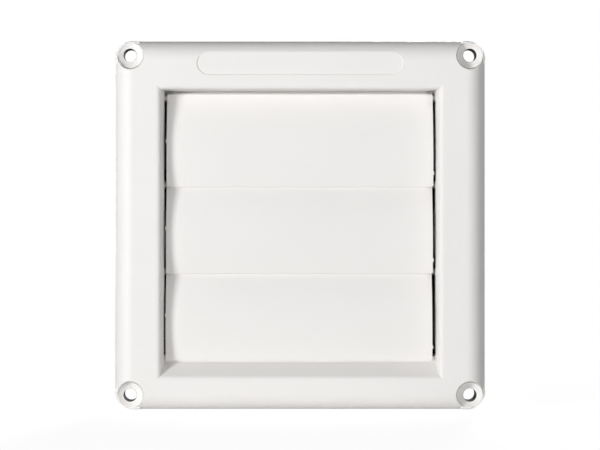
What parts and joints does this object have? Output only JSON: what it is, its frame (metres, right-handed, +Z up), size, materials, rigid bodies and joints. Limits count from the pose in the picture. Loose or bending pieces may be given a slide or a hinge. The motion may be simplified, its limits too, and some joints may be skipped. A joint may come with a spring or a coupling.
{
  "type": "vent hood",
  "caption": "Square louvred wall vent hood with a rolled edge, dished screw pads at its corners, hinged curved louvres and a round spigot that slides into duct.",
  "frame": {"origin": "centre of the four screw holes in the plane where the frame meets the wall", "axes": "+X to the right seen from the front, +Y into the wall along the spigot, +Z up"},
  "size_m": [0.1524, 0.0405, 0.1514],
  "materials": {
    "frame_plastic": "satin",
    "louvre_plastic": "satin"
  },
  "bodies": {
    "hood": {"hood_body": "frame_plastic"},
    "top_louvre": {"top_louvre": "louvre_plastic"},
    "middle_louvre": {"middle_louvre": "louvre_plastic"},
    "bottom_louvre": {"bottom_louvre": "louvre_plastic"}
  },
  "joints": [
    {"name": "top_louvre_pivot", "type": "hinge", "parent": "hood", "child": "top_louvre", "pos_m": [0, -0.00455, 0.05245], "axis": [-1, 0, 0], "range_deg": [0, 75]},
    {"name": "middle_louvre_pivot", "type": "hinge", "parent": "hood", "child": "middle_louvre", "pos_m": [0, -0.00455, 0.01662], "axis": [-1, 0, 0], "range_deg": [0, 75]},
    {"name": "bottom_louvre_pivot", "type": "hinge", "parent": "hood", "child": "bottom_louvre", "pos_m": [0, -0.00455, -0.01922], "axis": [-1, 0, 0], "range_deg": [0, 75]}
  ],
  "couplings": [
    {"joint": "middle_louvre_pivot", "follows": "top_louvre_pivot", "ratio": 1},
    {"joint": "bottom_louvre_pivot", "follows": "top_louvre_pivot", "ratio": 1}
  ]
}
